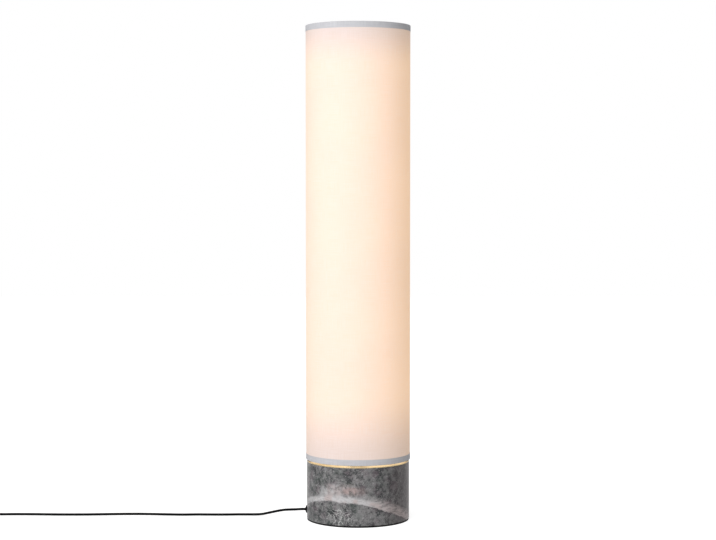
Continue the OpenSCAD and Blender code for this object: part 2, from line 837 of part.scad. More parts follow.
module plug_body() {
    w = plug_w / 2;
    tip = plug_nose_w / 2;
    end = relief_l + plug_l + 1;
    color("#141414") translate(plug_at) rotate([0, 0, 180]) difference() {
        union() {
            intersection() {
                translate([0, relief_l, -plug_t / 2]) linear_extrude(plug_t)
                    polygon([[-tip, 0], [tip, 0], [w, shoulder_l], [w, plug_l - plug_edge],
                        [w - plug_edge, plug_l], [plug_edge - w, plug_l],
                        [-w, plug_l - plug_edge], [-w, shoulder_l]]);
                rotate([90, 0, 90]) linear_extrude(plug_w + 2, center = true)
                    polygon([[relief_l - 1, -relief_end_d / 2], [relief_l + 6, -plug_t / 2],
                        [end, -plug_t / 2], [end, plug_t / 2],
                        [relief_l + 6, plug_t / 2], [relief_l - 1, relief_end_d / 2]]);
            }
            rotate([-90, 0, 0])
                cylinder(d1 = cord_d + 1.6, d2 = relief_end_d, h = relief_l + 1, $fn = 32);
        }
        for (i = [0 : relief_grooves - 1]) for (s = [-1, 1])
            translate([s * (cord_d / 2 + 2.2), 2 + groove_pitch * i, -5])
                cube([3, 1.2, 20], center = true);
        at_pins() cylinder(d = pin_d + 2 * fit_c, h = pin_root + 1, $fn = 32);
    }
}

module at_pins() {
    for (s = [-1, 1]) translate([s * pin_gap / 2, relief_l + plug_l - pin_root, 0])
        rotate([-90, 0, 0]) children();
}

module plug_pins() {
    color("#cfcfcf") translate(plug_at) rotate([0, 0, 180]) at_pins()
        rotate_extrude($fn = 32) turned_section(pin_d / 2, pin_l + pin_root, 1);
}

foot_pad();
base_plate();
base_screws();
marble_base();
brass_plate();
cable_gland();
cord_clamp();
terminal_block();
led_driver();
inner_lead();
driver_wires();
stem();
stem_nut();
stem_washer();
column_foot();
light_column();
led_strips();
top_cap();
shade_fabric();
shade_liner();
hem_top();
hem_bottom();
shade_frame_top();
shade_frame_bottom();
finial();
cord_lead();
cord_mid();
cord_coil();
cord_tail();
coil_tie();
switch_base();
switch_cover();
switch_button();
switch_spring();
switch_block();
switch_grommets();
switch_screws();
plug_body();
plug_pins();
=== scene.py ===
import math

import bmesh
import bpy
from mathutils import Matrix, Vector


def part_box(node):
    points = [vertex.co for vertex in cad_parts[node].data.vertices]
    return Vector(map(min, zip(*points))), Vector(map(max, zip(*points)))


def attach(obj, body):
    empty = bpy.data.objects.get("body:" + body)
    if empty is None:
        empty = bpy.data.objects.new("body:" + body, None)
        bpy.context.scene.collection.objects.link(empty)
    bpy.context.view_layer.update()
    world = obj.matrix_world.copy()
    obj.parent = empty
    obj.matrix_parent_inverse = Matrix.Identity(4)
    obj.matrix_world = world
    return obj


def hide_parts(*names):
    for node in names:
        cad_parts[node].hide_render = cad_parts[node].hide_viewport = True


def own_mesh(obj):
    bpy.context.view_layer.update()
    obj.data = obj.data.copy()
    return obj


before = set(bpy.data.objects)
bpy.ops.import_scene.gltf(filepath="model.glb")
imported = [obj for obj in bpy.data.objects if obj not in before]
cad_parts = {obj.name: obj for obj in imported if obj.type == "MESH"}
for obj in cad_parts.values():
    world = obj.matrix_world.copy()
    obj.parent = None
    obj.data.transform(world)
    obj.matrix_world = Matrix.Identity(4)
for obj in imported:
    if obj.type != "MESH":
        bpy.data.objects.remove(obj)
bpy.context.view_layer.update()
scene = bpy.context.scene
scene.view_settings.view_transform = "Standard"

# Camera of the photograph: a little above the middle of the shade, tipped down a little, and far
# enough back that the tall lamp keeps its straight sides.
camera_back = 4.2135
camera_height = 0.7972
camera_tip = 2.561
lens_mm = 87.08
sensor_mm = 36
camera = bpy.data.objects.new("camera", bpy.data.cameras.new("camera"))
camera.data.sensor_width = sensor_mm
camera.data.lens = lens_mm
camera.location = (0, -camera_back, camera_height)
camera.rotation_euler = (math.radians(90 - camera_tip), 0, 0)
scene.collection.objects.link(camera)
scene.camera = camera

# Supply cord: round two-core cord in a black soft sheath, 6 mm thick. It leaves the stone through
# its gland, drops to the floor, runs through the foot switch and ends in its plug. The spare
# length is put away in a coil of two layers beyond the switch, held by a strap.
cord_d = 0.006
cord_exit = (-0.129, 0, 0.0225)
lead_route = [
    cord_exit, (-0.136, 0, 0.0225), (-0.152, 0.003, 0.0212), (-0.167, 0.007, 0.020),
    (-0.182, 0.010, 0.0185), (-0.201, 0.015, 0.0145), (-0.220, 0.021, 0.0095),
    (-0.236, 0.027, 0.0054), (-0.252, 0.032, 0.0034), (-0.270, 0.034, 0.003),
    (-0.295, 0.034, 0.003), (-0.325, 0.032, 0.003), (-0.360, 0.032, 0.003),
    (-0.395, 0.033, 0.003), (-0.434, 0.031, 0.003), (-0.474, 0.034, 0.003),
    (-0.510, 0.038, 0.003), (-0.550, 0.040, 0.003), (-0.600, 0.038, 0.003),
    (-0.650, 0.034, 0.003), (-0.700, 0.032, 0.003), (-0.750, 0.033, 0.003),
    (-0.800, 0.036, 0.003), (-0.850, 0.037, 0.003), (-0.885, 0.036, 0.003),
    (-0.900, 0.035, 0.0039), (-0.914, 0.035, 0.0061), (-0.926, 0.035, 0.0074),
    (-0.935, 0.035, 0.0075), (-0.950, 0.035, 0.0075), (-0.973, 0.035, 0.0075),
]
mid_route = [
    (-0.997, 0.035, 0.0075), (-1.020, 0.035, 0.0075), (-1.036, 0.035, 0.0075),
    (-1.044, 0.035, 0.007), (-1.053, 0.035, 0.0056), (-1.062, 0.035, 0.0042),
    (-1.069, 0.035, 0.0039), (-1.074, 0.035, 0.0039),
]
tail_route = [
    (-1.125, -0.016, 0.01046), (-1.125, -0.022, 0.01046), (-1.125, -0.034, 0.0096),
    (-1.125, -0.046, 0.0081), (-1.125, -0.057, 0.0069), (-1.125, -0.063, 0.0069),
]
coil_x = -1.080
coil_y = -0.010
coil_z = 0.0039
coil_r = 0.0245
coil_pitch = 0.00656
coil_turns = 6.25
coil_start = 90
climb_turns = 0.5
points_a_turn = 24


def coil_point(turn):
    """Point of the coil: inwards on the floor, up a layer where the spiral reverses, out on top."""
    past_middle = turn - coil_turns / 2
    reach = coil_r + coil_pitch * abs(past_middle)
    climb = min(1, max(0, 0.5 + past_middle / climb_turns))
    angle = math.radians(coil_start + 360 * turn)
    x = coil_x + reach * math.cos(angle)
    y = coil_y + reach * math.sin(angle)
    return (x, y, coil_z + coil_pitch * climb)


coil_route = [coil_point(i / points_a_turn) for i in range(int(coil_turns * points_a_turn) + 1)]
cord_route = lead_route + mid_route + coil_route + tail_route

cord_line = bpy.data.curves.new("supply_cord", "CURVE")
cord_line.dimensions = "3D"
cord_line.resolution_u = 5
cord_line.bevel_depth = cord_d / 2
cord_line.bevel_resolution = 5
cord_line.use_fill_caps = True
spline = cord_line.splines.new("BEZIER")
spline.bezier_points.add(len(cord_route) - 1)
for knot, place in zip(spline.bezier_points, cord_route):
    knot.co = place
    knot.handle_left_type = knot.handle_right_type = "AUTO"
supply_cord = bpy.data.objects.new("supply_cord", cord_line)
scene.collection.objects.link(supply_cord)


def shader_node(tree, kind, inputs=None, **settings):
    """Adds a shader node. An input given as a socket is linked, and any other value is set."""
    node = tree.nodes.new("ShaderNode" + kind)
    for name, value in settings.items():
        setattr(node, name, value)
    for key, value in (inputs or {}).items():
        if isinstance(value, bpy.types.NodeSocket):
            tree.links.new(value, node.inputs[key])
        else:
            node.inputs[key].default_value = value
    return node


def sum_of(tree, operation, a, b=0.0, c=0.0):
    """Output of a Math node."""
    return shader_node(tree, "Math", {0: a, 1: b, 2: c}, operation=operation).outputs[0]


def product_of(tree, first, *others):
    """Product of masks, values and numbers."""
    for other in others:
        first = sum_of(tree, "MULTIPLY", first, other)
    return first


def vector_of(tree, operation, inputs, output="Vector"):
    """Output of a Vector Math node."""
    return shader_node(tree, "VectorMath", inputs, operation=operation).outputs[output]


def blend_of(tree, factor, a, b):
    """Colour between a and b."""
    return shader_node(tree, "Mix", {0: factor, 6: a, 7: b}, data_type="RGBA").outputs[2]


def spread_of(tree, value, low, high, to_low=0.0, to_high=1.0, soft=True):
    """Value moved from one range to another and held inside it."""
    inputs = {"Value": value, "From Min": low, "From Max": high, "To Min": to_low, "To Max": to_high}
    kind = "SMOOTHSTEP" if soft else "LINEAR"
    return shader_node(tree, "MapRange", inputs, interpolation_type=kind).outputs["Result"]


def noise_of(tree, vector, scale, detail=3.0, roughness=0.5):
    """Value of a Noise texture."""
    inputs = {"Vector": vector, "Scale": scale, "Detail": detail, "Roughness": roughness}
    return shader_node(tree, "TexNoise", inputs).outputs["Fac"]


def stretched(tree, vector, scale):
    """Coordinates scaled along each axis, for grain that runs one way."""
    return shader_node(tree, "Mapping", {"Vector": vector, "Scale": scale}).outputs["Vector"]


def new_group(name, inputs, outputs):
    """Shader node group with its named sockets, given as (name, type, default)."""
    group = bpy.data.node_groups.new(name, "ShaderNodeTree")
    for label, kind, default in inputs:
        socket = group.interface.new_socket(label, in_out="INPUT", socket_type="NodeSocket" + kind)
        if default is not None:
            socket.default_value = default
    for label, kind in outputs:
        group.interface.new_socket(label, in_out="OUTPUT", socket_type="NodeSocket" + kind)
    return group, group.nodes.new("NodeGroupInput"), group.nodes.new("NodeGroupOutput")


def use_group(tree, group, inputs):
    """Places a shared group in a material with its own values."""
    return shader_node(tree, "Group", inputs, node_tree=group)


def new_material(name):
    """Material with an empty tree, its Principled shader and its object coordinates."""
    material = bpy.data.materials.new(name)
    material.use_nodes = True
    tree = material.node_tree
    tree.nodes.clear()
    skin = shader_node(tree, "BsdfPrincipled")
    tree.links.new(skin.outputs[0], shader_node(tree, "OutputMaterial").inputs["Surface"])
    return material, tree, skin, shader_node(tree, "TexCoord").outputs["Object"]


def bump_into(tree, skin, height, distance):
    """Relief from a height, in metres for a height of 1."""
    bump = shader_node(tree, "Bump", {"Height": height, "Distance": distance})
    tree.links.new(bump.outputs["Normal"], skin.inputs["Normal"])


pale_dust = (0.42, 0.41, 0.39, 1)


def moulded_skin_group():
    """Skin of moulded plastic or rubber: a fine grain, a cloudy sheen and a little pale dust."""
    group, given, out = new_group(
        "moulded_skin",
        [("Vector", "Vector", None), ("Colour", "Color", (0.1, 0.1, 0.1, 1)),
         ("Dust", "Float", 0.1), ("Roughness", "Float", 0.4), ("Grain", "Float", 2500.0)],
        [("Colour", "Color"), ("Roughness", "Float"), ("Height", "Float")])
    at = given.outputs["Vector"]
    cloud = noise_of(group, at, 45.0, 4.0)
    settled = spread_of(group, noise_of(group, at, 160.0, 5.0, 0.65), 0.48, 0.72)
    dusty = product_of(group, settled, given.outputs["Dust"])
    pale = blend_of(group, dusty, given.outputs["Colour"], pale_dust)
    sheen = sum_of(group, "ADD", given.outputs["Roughness"],
                   spread_of(group, cloud, 0.3, 0.7, -0.06, 0.08))
    group.links.new(pale, out.inputs["Colour"])
    group.links.new(sheen, out.inputs["Roughness"])
    group.links.new(noise_of(group, at, given.outputs["Grain"], 2.0), out.inputs["Height"])
    return group


moulded_skin = moulded_skin_group()


def moulded(name, colour, roughness, grain, depth, dust, shine=0.5):
    """Material of a moulded piece."""
    material, tree, skin, at = new_material(name)
    skin.inputs["Specular IOR Level"].default_value = shine
    surface = use_group(tree, moulded_skin, {
        "Vector": at, "Colour": (*colour, 1), "Dust": dust, "Roughness": roughness, "Grain": grain})
    tree.links.new(surface.outputs["Colour"], skin.inputs["Base Color"])
    tree.links.new(surface.outputs["Roughness"], skin.inputs["Roughness"])
    bump_into(tree, skin, surface.outputs["Height"], depth)
    return material


cord_sheath = moulded("cord_sheath", (0.004, 0.004, 0.0045), roughness=0.55, grain=1800.0,
                      depth=0.00001, dust=0.01, shine=0.05)
cord_line.materials.append(cord_sheath)
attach(supply_cord, "base")
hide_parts("cord_lead", "cord_mid", "cord_coil", "cord_tail")

# Plug at the cord's end: one black moulding over the cord, with a ribbed, tapered relief, a
# flat grip that widens to the pins, and two round nickel-plated pins. All its edges are soft.
plug_edge = 0.0004
corner_weld = 0.000005
sliver_weld = 0.00001
flat_within = 0.5
rounded_over = 35
smooth_under = 32


def pick_none():
    """Leaves nothing selected, since an operator acts on all that is."""
    bpy.ops.object.select_all(action="DESELECT")


def make_active(piece):
    """Selects one piece alone."""
    pick_none()
    piece.select_set(True)
    bpy.context.view_layer.objects.active = piece


def open_mesh():
    """Opens the active piece's mesh for editing, with all of it selected."""
    bpy.ops.object.mode_set(mode="EDIT")
    bpy.ops.mesh.select_all(action="SELECT")


def apply_modifier(piece, kind, **settings):
    """Adds a modifier to a piece and applies it."""
    make_active(piece)
    modifier = piece.modifiers.new(kind.lower(), kind)
    for name, value in settings.items():
        setattr(modifier, name, value)
    bpy.ops.object.modifier_apply(modifier=modifier.name)


def dress(piece, material, body):
    """Gives a new piece its material and its body."""
    piece.data.materials.clear()
    piece.data.materials.append(material)
    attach(piece, body)


def softened(node, name, edge, material, body):
    """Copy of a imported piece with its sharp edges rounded, as moulding or polishing leaves them."""
    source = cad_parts[node]
    piece = bpy.data.objects.new(name, source.data.copy())
    scene.collection.objects.link(piece)
    make_active(piece)
    open_mesh()
    bpy.ops.mesh.remove_doubles(threshold=corner_weld)
    bpy.ops.mesh.dissolve_limited(angle_limit=math.radians(flat_within))
    bpy.ops.object.mode_set(mode="OBJECT")
    apply_modifier(piece, "BEVEL", width=edge, segments=3, limit_method="ANGLE",
                   angle_limit=math.radians(rounded_over), use_clamp_overlap=True)
    open_mesh()
    bpy.ops.mesh.remove_doubles(threshold=sliver_weld)
    bpy.ops.object.mode_set(mode="OBJECT")
    bpy.ops.object.shade_smooth_by_angle(angle=math.radians(smooth_under))
    dress(piece, material, body)
    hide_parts(node)
    return piece


def coat(material, *nodes):
    """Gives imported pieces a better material, and leaves their shape alone."""
    for node in nodes:
        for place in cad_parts[node].material_slots:
            place.material = material


plug_skin = moulded("plug_skin", (0.010, 0.010, 0.0105), roughness=0.46, grain=2200.0,
                    depth=0.00002, dust=0.02, shine=0.3)
plug = softened("plug_body", "plug", plug_edge, plug_skin, "base")


def surface_marks_group():
    """Fine scratches and finger marks on bare or plated metal, as changes of its gloss."""
    group, given, out = new_group(
        "surface_marks",
        [("Vector", "Vector", None), ("Roughness", "Float", 0.3), ("Marks", "Float", 0.1),
         ("Grain", "Vector", (300.0, 300.0, 300.0))],
        [("Roughness", "Float"), ("Height", "Float"), ("Tone", "Float")])
    at = given.outputs["Vector"]
    along = vector_of(group, "MULTIPLY", {0: at, 1: given.outputs["Grain"]})
    lines = noise_of(group, along, 1.0, 3.0, 0.6)
    smudge = spread_of(group, noise_of(group, at, 30.0, 4.0, 0.6), 0.4, 0.75)
    change = product_of(group, sum_of(group, "ADD", lines, smudge), given.outputs["Marks"])
    gloss = sum_of(group, "ADD", given.outputs["Roughness"], change)
    group.links.new(gloss, out.inputs["Roughness"])
    group.links.new(lines, out.inputs["Height"])
    group.links.new(smudge, out.inputs["Tone"])
    return group


surface_marks = surface_marks_group()


def metal(name, colour, roughness, grain, depth=0.000006, marks=0.1, tarnish=(0.7, 0.7, 0.7)):
    """Material of a metal piece whose finish runs along the axis with the smallest grain."""
    material, tree, skin, at = new_material(name)
    surface = use_group(tree, surface_marks, {
        "Vector": at, "Roughness": roughness, "Marks": marks, "Grain": grain})
    dull = [tint * part for tint, part in zip(colour, tarnish)]
    tone = blend_of(tree, surface.outputs["Tone"], (*colour, 1), (*dull, 1))
    tree.links.new(tone, skin.inputs["Base Color"])
    skin.inputs["Metallic"].default_value = 1.0
    tree.links.new(surface.outputs["Roughness"], skin.inputs["Roughness"])
    bump_into(tree, skin, surface.outputs["Height"], depth)
    return material


plated_pins = metal("plated_pins", (0.78, 0.76, 0.72), roughness=0.2, grain=(900, 60, 900))
coat(plated_pins, "plug_pins")

# Foot switch on the cord: a black moulded base and cover held by three screws from below. The
# round button stands over a coil spring and is held in by its flange. Inside is a terminal block,
# and a rubber bush on each side grips the cord.
case_edge = 0.0005
foot_edge = 0.0004
button_edge = 0.0004
switch_skin = moulded("switch_skin", (0.012, 0.012, 0.0125), roughness=0.42, grain=1500.0,
                      depth=0.00003, dust=0.03, shine=0.35)
button_skin = moulded("button_skin", (0.022, 0.022, 0.023), roughness=0.34, grain=2600.0,
                      depth=0.00001, dust=0.03, shine=0.4)
bush_rubber = moulded("bush_rubber", (0.008, 0.008, 0.008), roughness=0.6, grain=3000.0,
                      depth=0.00002, dust=0.03, shine=0.2)
block_skin = moulded("block_skin", (0.78, 0.76, 0.70), roughness=0.4, grain=3000.0,
                     depth=0.00001, dust=0.05)
screw_steel = metal("screw_steel", (0.55, 0.55, 0.56), roughness=0.3, grain=(1200, 1200, 200))
switch_case = softened("switch_cover", "switch_case", case_edge, switch_skin, "base")
switch_foot = softened("switch_base", "switch_foot", foot_edge, switch_skin, "base")
foot_button = softened("switch_button", "foot_button", button_edge, button_skin, "button")
coat(bush_rubber, "switch_grommets")
coat(block_skin, "switch_block")
coat(screw_steel, "switch_screws")

# Spring under the button: five turns of bright wire that stand on the terminal block.
spring_r = 0.005
spring_wire_d = 0.001
spring_turns = 5
spring_sides = 12
spring_steps = 32
spring_low, spring_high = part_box("switch_spring")
spring_foot = ((spring_low.x + spring_high.x) / 2, (spring_low.y + spring_high.y) / 2, spring_low.z)
spring_pitch = (spring_high.z - spring_low.z - spring_wire_d) / spring_turns
spring_start = Vector(spring_foot) + Vector((0, 0, spring_wire_d / 2))
spring_steel = metal("spring_steel", (0.62, 0.61, 0.59), roughness=0.28, grain=(800, 800, 800))

pick_none()
bpy.ops.mesh.primitive_circle_add(vertices=spring_sides, radius=spring_wire_d / 2)
button_spring = bpy.context.object
button_spring.name = "button_spring"
open_mesh()
bpy.ops.transform.rotate(value=math.radians(90), orient_axis="X", center_override=(0, 0, 0))
bpy.ops.transform.translate(value=(spring_r, 0, 0))
bpy.ops.object.mode_set(mode="OBJECT")
apply_modifier(button_spring, "SCREW", angle=math.radians(360), screw_offset=spring_pitch,
               iterations=spring_turns, steps=spring_steps, render_steps=spring_steps)
open_mesh()
bpy.ops.mesh.remove_doubles(threshold=corner_weld)
bpy.ops.mesh.select_all(action="SELECT")
bpy.ops.mesh.fill_holes(sides=0)
bpy.ops.mesh.select_all(action="SELECT")
bpy.ops.mesh.normals_make_consistent(inside=False)
bpy.ops.transform.translate(value=spring_start)
bpy.ops.object.mode_set(mode="OBJECT")
bpy.ops.object.shade_smooth_by_angle(angle=math.radians(40))
dress(button_spring, spring_steel, "base")
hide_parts("switch_spring")
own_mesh(button_spring)

# Strap round the put-away coil: a narrow black hook-and-loop band, pressed shut on itself. It
# keeps the spare cord together, and opens when more of the cord is wanted.
tie_edge = 0.0003
tie_band = moulded("tie_band", (0.012, 0.012, 0.0125), roughness=0.85, grain=1400.0,
                   depth=0.00012, dust=0.05, shine=0.15)
cord_tie = softened("coil_tie", "cord_tie", tie_edge, tie_band, "base")

# Cable gland in the stone's side: a turned black bush with a flat flange, seated on a small flat
# ground in the stone. The cord inside is held by a clamp.
gland_edge = 0.0003
gland_skin = moulded("gland_skin", (0.004, 0.004, 0.0045), roughness=0.55, grain=2200.0,
                     depth=0.00001, dust=0.01, shine=0.05)
gland = softened("cable_gland", "gland", gland_edge, gland_skin, "base")
coat(gland_skin, "cord_clamp")
coat(cord_sheath, "inner_lead")

# Parts in the stone's pocket: the light's driver in a white plastic case, the terminal block that
# the cord is joined in, and the pair of wires up the stem.
case_white = moulded("case_white", (0.80, 0.80, 0.78), roughness=0.42, grain=1800.0,
                     depth=0.00002, dust=0.06)
wire_red = moulded("wire_red", (0.42, 0.03, 0.02), roughness=0.38, grain=2500.0,
                   depth=0.00001, dust=0.04)
coat(case_white, "led_driver", "terminal_block")
coat(wire_red, "driver_wires")

# Foot of the lamp: a soft black pad glued under a painted steel plate, which four countersunk
# screws hold to the stone and which closes the pocket. The stem's nut and washer sit above it.
pad_felt = moulded("pad_felt", (0.005, 0.005, 0.005), roughness=0.92, grain=2200.0,
                   depth=0.0001, dust=0.04, shine=0.1)
plate_paint = moulded("plate_paint", (0.005, 0.005, 0.005), roughness=0.6, grain=1500.0,
                      depth=0.00003, dust=0.02, shine=0.1)
zinc = metal("zinc", (0.60, 0.61, 0.62), roughness=0.32, grain=(500, 500, 500))
coat(pad_felt, "foot_pad")
coat(plate_paint, "base_plate")
coat(zinc, "base_screws", "stem", "stem_nut", "stem_washer")

# Stone base: a turned cylinder of grey marble with a satin polish. Its ground is dark, mottled and
# flecked, with green and violet in it. One broad pale band rises in an arch over the front, with
# a ragged pink cloud on it left of the middle.
stone_dark = (0.043, 0.045, 0.047, 1)
stone_grey = (0.235, 0.230, 0.233, 1)
stone_fleck = (0.50, 0.49, 0.49, 1)
stone_pit = (0.024, 0.026, 0.028, 1)
stone_violet = (0.16, 0.115, 0.135, 1)
stone_green = (0.085, 0.11, 0.095, 1)
stone_brown = (0.050, 0.036, 0.038, 1)
stone_pale = (0.60, 0.59, 0.60, 1)
stone_rosy = (0.50, 0.37, 0.35, 1)
hair_grey = (0.42, 0.41, 0.41, 1)
scrawl_grey = (0.55, 0.55, 0.54, 1)
brown_x = (0.045, 0.12)
rosy_x = (0.0, 0.10)
veil_x = (0.010, 0.045)
band_fade_x = (0.045, 0.11)
band_end_x = (-0.128, -0.100)
band_tilt = (0.174, 0.381, 1.0)
band_height = 0.0153
cloud_middle = (-0.040, -0.112, 0.082)
cloud_size = (0.068, 0.066, 0.023)
blush_middle = (-0.008, -0.124, 0.088)
blush_size = (0.046, 0.060, 0.014)
scrawl_middle = (-0.045, -0.118, 0.023)
scrawl_size = (0.034, 0.050, 0.019)
rear_tilt = (-0.10, 0.62, 1.0)
rear_height = 0.150


def sheet_distance(tree, at, tilt, height):
    """Distance over a sheet of pale stone that lies askew in the block."""
    across = vector_of(tree, "DOT_PRODUCT", {0: at, 1: tilt}, "Value")
    return sum_of(tree, "SUBTRACT", across, height)


def warped(tree, at, scale, reach):
    """Coordinates pushed about by a cloudy noise, by up to about half the reach."""
    drift = shader_node(tree, "TexNoise", {"Vector": at, "Scale": scale, "Detail": 4.0})
    centred = vector_of(tree, "SUBTRACT", {0: drift.outputs["Color"], 1: (0.5, 0.5, 0.5)})
    return vector_of(tree, "ADD", {0: at, 1: vector_of(tree, "SCALE", {0: centred, 3: reach})})


def lump_distance(tree, at, middle, size):
    """Distance from the middle of a lump, where its surface is at 1."""
    off = vector_of(tree, "SUBTRACT", {0: at, 1: middle})
    return vector_of(tree, "LENGTH", {0: vector_of(tree, "DIVIDE", {0: off, 1: size})}, "Value")


def stone_ground(tree, at, bent, across, crystals):
    """Dark and middle greys in clouds, blotches and crystals, with pale flecks, dark pits and faint
    tints. Towards +X the ground is darker and browner."""
    clouds = noise_of(tree, bent, 24.0, 3.0, 0.6)
    blotches = noise_of(tree, bent, 75.0, 4.0, 0.65)
    mottle = sum_of(tree, "MULTIPLY_ADD", clouds, 0.3, product_of(tree, blotches, 0.4))
    mottle = sum_of(tree, "MULTIPLY_ADD", crystals, 0.3, mottle)
    flecks = spread_of(tree, noise_of(tree, bent, 330.0, 3.0, 0.6), 0.56, 0.70)
    pits = spread_of(tree, noise_of(tree, bent, 210.0, 4.0, 0.7), 0.55, 0.68)
    tints = noise_of(tree, at, 42.0, 2.0)
    ground = blend_of(tree, spread_of(tree, mottle, 0.42, 0.57), stone_dark, stone_grey)
    ground = blend_of(tree, product_of(tree, flecks, 0.6), ground, stone_fleck)
    ground = blend_of(tree, product_of(tree, pits, 0.8), ground, stone_pit)
    ground = blend_of(tree, spread_of(tree, tints, 0.52, 0.7, 0.0, 0.35), ground, stone_violet)
    ground = blend_of(tree, spread_of(tree, tints, 0.48, 0.3, 0.0, 0.3), ground, stone_green)
    return blend_of(tree, spread_of(tree, across, *brown_x, 0.0, 0.62), ground, stone_brown)


def pale_band(tree, bent, frayed, across):
    """Masks of the broad band and of the veil that it thins out into towards +X. The band has a
    soft upper edge, a sharper lower one, and threads of the ground in it."""
    from_band = sheet_distance(tree, frayed, band_tilt, band_height)
    lower = spread_of(tree, from_band, -0.0085, -0.0045)
    threads = noise_of(tree, stretched(tree, bent, (1, 1, 4)), 70.0, 5.0, 0.7)
    band = product_of(tree, spread_of(tree, from_band, 0.011, 0.002), lower,
                      spread_of(tree, threads, 0.36, 0.54, 0.45),
                      spread_of(tree, across, *band_fade_x, 1.0, 0.5),
                      spread_of(tree, across, *band_end_x, 0.45))
    veil = product_of(tree, spread_of(tree, from_band, 0.024, 0.006), lower,
                      spread_of(tree, across, *veil_x, 0.0, 0.66),
                      spread_of(tree, threads, 0.40, 0.58, 0.15))
    return band, veil


def pale_clouds(tree, bent, frayed):
    """Mask of the cloud on the front of the band, and of a ragged sheet of the same stone higher up
    at the back."""
    ragged = noise_of(tree, bent, 60.0, 5.0, 0.7)
    front = spread_of(tree, lump_distance(tree, frayed, cloud_middle, cloud_size), 1.2, 0.55)
    from_rear = sum_of(tree, "ABSOLUTE", sheet_distance(tree, frayed, rear_tilt, rear_height))
    either = sum_of(tree, "MAXIMUM", front, spread_of(tree, from_rear, 0.014, 0.003))
    return product_of(tree, either, spread_of(tree, ragged, 0.38, 0.60, 0.2, 0.8))


def vein_lines(tree, noise, faint_at, full_at):
    """Mask of thin lines, where a noise passes through its middle value."""
    from_middle = sum_of(tree, "ABSOLUTE", sum_of(tree, "SUBTRACT", noise, 0.5))
    return spread_of(tree, from_middle, faint_at, full_at)


def rosy_share(tree, at, frayed, across):
    """How far the pale stone turns rosy: in faint clouds, in a blush on the band, and towards +X."""
    blush = spread_of(tree, lump_distance(tree, frayed, blush_middle, blush_size), 1.1, 0.5, 0.0, 0.9)
    faint = spread_of(tree, noise_of(tree, at, 34.0, 3.0), 0.46, 0.64, 0.0, 0.5)
    sideways = spread_of(tree, across, *rosy_x, 0.0, 0.6)
    return sum_of(tree, "MAXIMUM", sideways, sum_of(tree, "MAXIMUM", blush, faint))


def marble():
    """Grey marble: its ground, then hair veins, a fine scrawl, clouds and the pale band over it."""
    material, tree, skin, at = new_material("marble")
    bent = warped(tree, at, 16.0, 0.03)
    frayed = warped(tree, warped(tree, at, 11.0, 0.010), 90.0, 0.009)
    across = shader_node(tree, "SeparateXYZ", {0: frayed}).outputs["X"]
    crystals = noise_of(tree, bent, 170.0, 4.0, 0.7)
    band, veil = pale_band(tree, bent, frayed, across)
    clouded = sum_of(tree, "MAXIMUM", pale_clouds(tree, bent, frayed), veil)
    hair = vein_lines(tree, noise_of(tree, bent, 22.0, 4.0, 0.55), 0.006, 0.0)
    scrawl_place = lump_distance(tree, bent, scrawl_middle, scrawl_size)
    scrawl = product_of(tree, vein_lines(tree, noise_of(tree, bent, 100.0, 2.0, 0.5), 0.03, 0.005),
                        spread_of(tree, scrawl_place, 1.15, 0.7, 0.0, 0.9))
    pale = blend_of(tree, rosy_share(tree, at, frayed, across), stone_pale, stone_rosy)
    colour = stone_ground(tree, at, bent, across, crystals)
    colour = blend_of(tree, product_of(tree, hair, 0.35), colour, hair_grey)
    colour = blend_of(tree, scrawl, colour, scrawl_grey)
    colour = blend_of(tree, clouded, colour, pale)
    colour = blend_of(tree, product_of(tree, band, 0.94), colour, pale)
    tree.links.new(colour, skin.inputs["Base Color"])
    tree.links.new(spread_of(tree, crystals, 0.3, 0.7, 0.34, 0.44), skin.inputs["Roughness"])
    skin.inputs["Specular IOR Level"].default_value = 0.2
    bump_into(tree, skin, crystals, 0.000006)
    return material


coat(marble(), "marble_base")

# Brass plate on the stone: 2 mm sheet, turned on its face, so its fine lines run in rings. The
# foot of the column stands on it, and the shade's light falls on it.
plate_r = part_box("brass_plate")[1].x
brass_tone = (0.86, 0.69, 0.40, 1)
brass_dull = (0.765, 0.59, 0.315, 1)
brass_edge_shade = (0.16, 0.11, 0.06, 1)
brass_rough = 0.24
smudge_rough = 0.12
rim_start = 0.0005
rim_full = 0.0002
rim_share = 0.45


def turned_brass():
    """Brass with fine rings left by the lathe round the lamp's axis, and a rim darkened as painted
    shade.
    """
    material, tree, skin, at = new_material("turned_brass")
    flat = vector_of(tree, "MULTIPLY", {0: at, 1: (1, 1, 0)})
    reach = vector_of(tree, "LENGTH", {0: flat}, "Value")
    rings = noise_of(tree, shader_node(tree, "CombineXYZ", {"X": reach}).outputs[0], 4000.0, 2.0)
    smudge = spread_of(tree, noise_of(tree, at, 35.0, 5.0, 0.6), 0.42, 0.72)
    # Painted shade: the plate's outer rim and edge are darkened towards brown.
    rim = spread_of(tree, reach, plate_r - rim_start, plate_r - rim_full, 0.0, rim_share)
    body = blend_of(tree, smudge, brass_tone, brass_dull)
    gloss = spread_of(tree, smudge, 0.0, 1.0, brass_rough, brass_rough + smudge_rough)
    tree.links.new(blend_of(tree, rim, body, brass_edge_shade), skin.inputs["Base Color"])
    tree.links.new(gloss, skin.inputs["Roughness"])
    skin.inputs["Metallic"].default_value = 1.0
    bump_into(tree, skin, rings, 0.000006)
    return material


coat(turned_brass(), "brass_plate")

